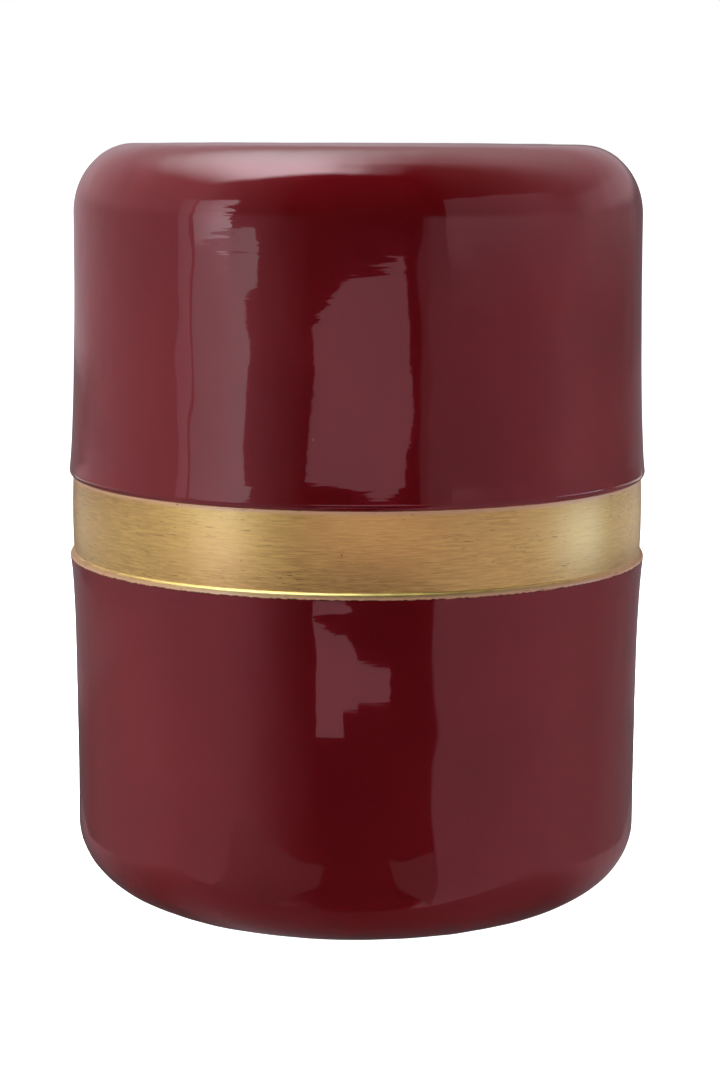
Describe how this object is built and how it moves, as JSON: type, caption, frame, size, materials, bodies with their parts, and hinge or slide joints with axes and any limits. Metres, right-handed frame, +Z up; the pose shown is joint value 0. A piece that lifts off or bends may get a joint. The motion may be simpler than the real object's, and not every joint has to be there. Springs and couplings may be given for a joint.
{
  "type": "drum side table",
  "caption": "Drum-shaped metal side table with a flat round top, rounded shoulder and foot, and a recessed brushed brass-coloured band around the waist.",
  "frame": {"origin": "on the floor, under the feet, on the drum's axis", "axes": "+Z up along the drum's axis, X and Y free"},
  "size_m": [0.343, 0.343, 0.45],
  "materials": {
    "enamel": "gloss",
    "band": "brushed",
    "zinc_steel": "satin",
    "fibreboard": "matt",
    "rubber": "matt",
    "felt": "matt",
    "foam": "matt"
  },
  "bodies": {
    "root": {"top_shell": "enamel", "bottom_shell": "enamel", "waist_band": "band", "damping_pad": "foam", "top_board": "fibreboard", "upper_lug_1": "zinc_steel", "upper_lug_2": "zinc_steel", "upper_lug_3": "zinc_steel", "upper_lug_4": "zinc_steel", "lower_lug_1": "zinc_steel", "lower_lug_2": "zinc_steel", "lower_lug_3": "zinc_steel", "lower_lug_4": "zinc_steel", "tie_bolts": "zinc_steel", "tie_washers": "zinc_steel", "weld_nuts": "zinc_steel", "base_board": "fibreboard", "base_gasket": "felt", "base_screws": "zinc_steel", "rivet_nuts": "zinc_steel", "foot_1": "rubber", "foot_2": "rubber", "foot_3": "rubber", "foot_4": "rubber", "foot_washers": "zinc_steel", "foot_screws": "zinc_steel"}
  },
  "joints": []
}
